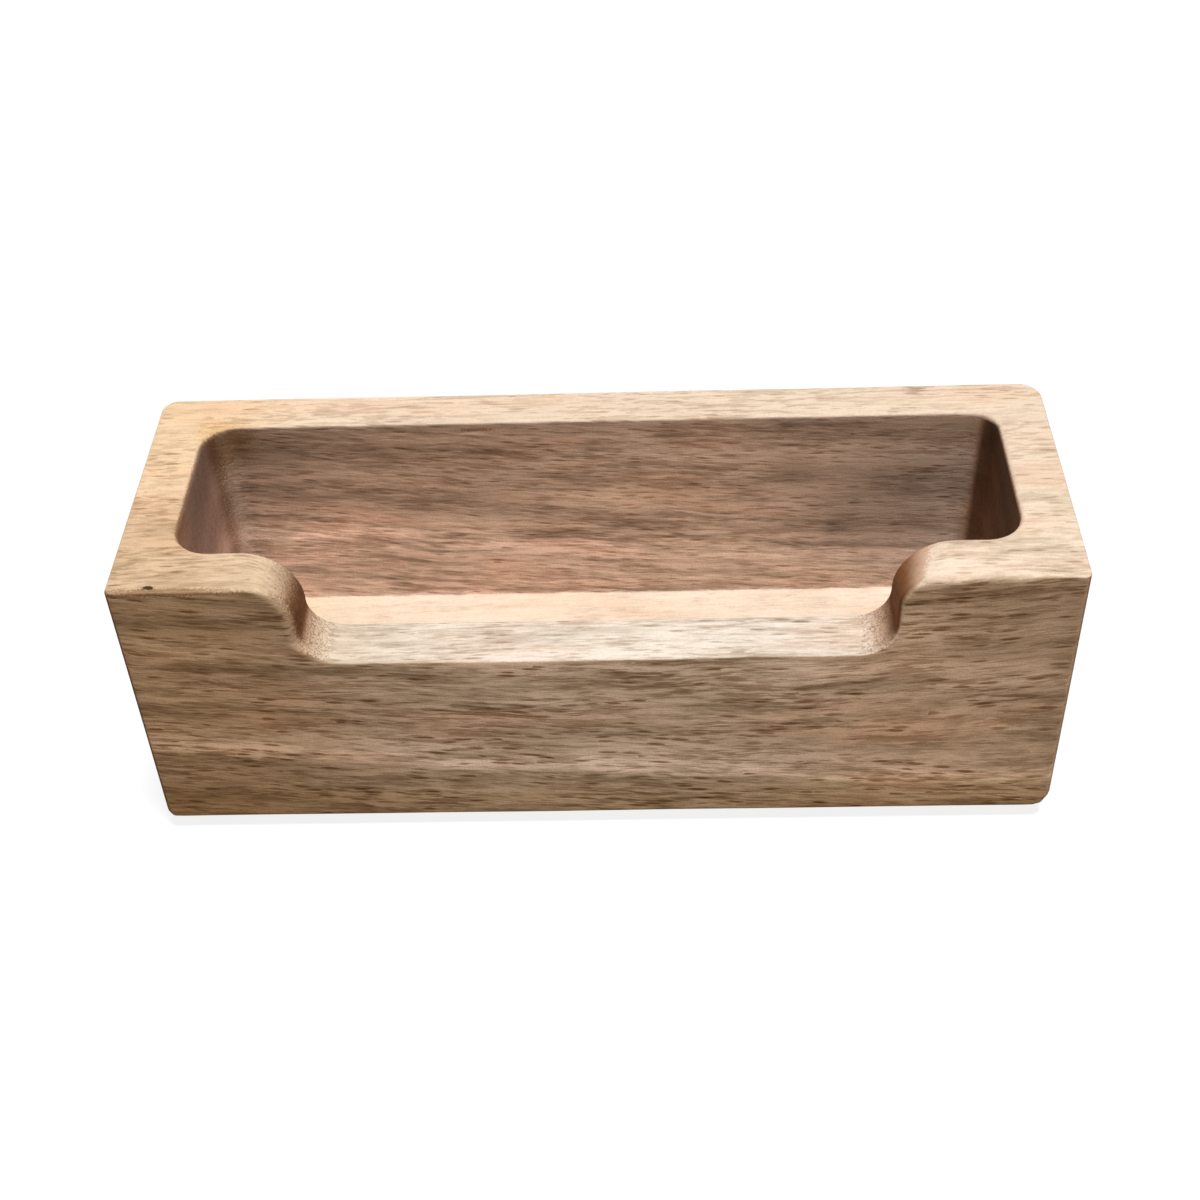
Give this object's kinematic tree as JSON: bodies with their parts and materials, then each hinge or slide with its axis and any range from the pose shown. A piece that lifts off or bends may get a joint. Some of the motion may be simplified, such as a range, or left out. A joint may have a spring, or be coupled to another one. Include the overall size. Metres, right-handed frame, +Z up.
{
  "type": "business card holder stand",
  "caption": "Milled hardwood block with a long card pocket and a wide, curve-shouldered thumb notch in its front wall, standing on small rubber feet.",
  "frame": {"origin": "on the desk, under the middle of the block, at the level of the feet's undersides", "axes": "+X along the block to the right as seen from the front, +Y from the notched front to the back, +Z up"},
  "size_m": [0.11, 0.0366, 0.04],
  "materials": {
    "block_wood": "bare open-pored hardwood, sanded, dry matt oil",
    "foot_rubber": "matt moulded rubber"
  },
  "bodies": {
    "root": {"holder_block": "block_wood", "front_left_foot": "foot_rubber", "front_right_foot": "foot_rubber", "rear_left_foot": "foot_rubber", "rear_right_foot": "foot_rubber"}
  },
  "joints": []
}
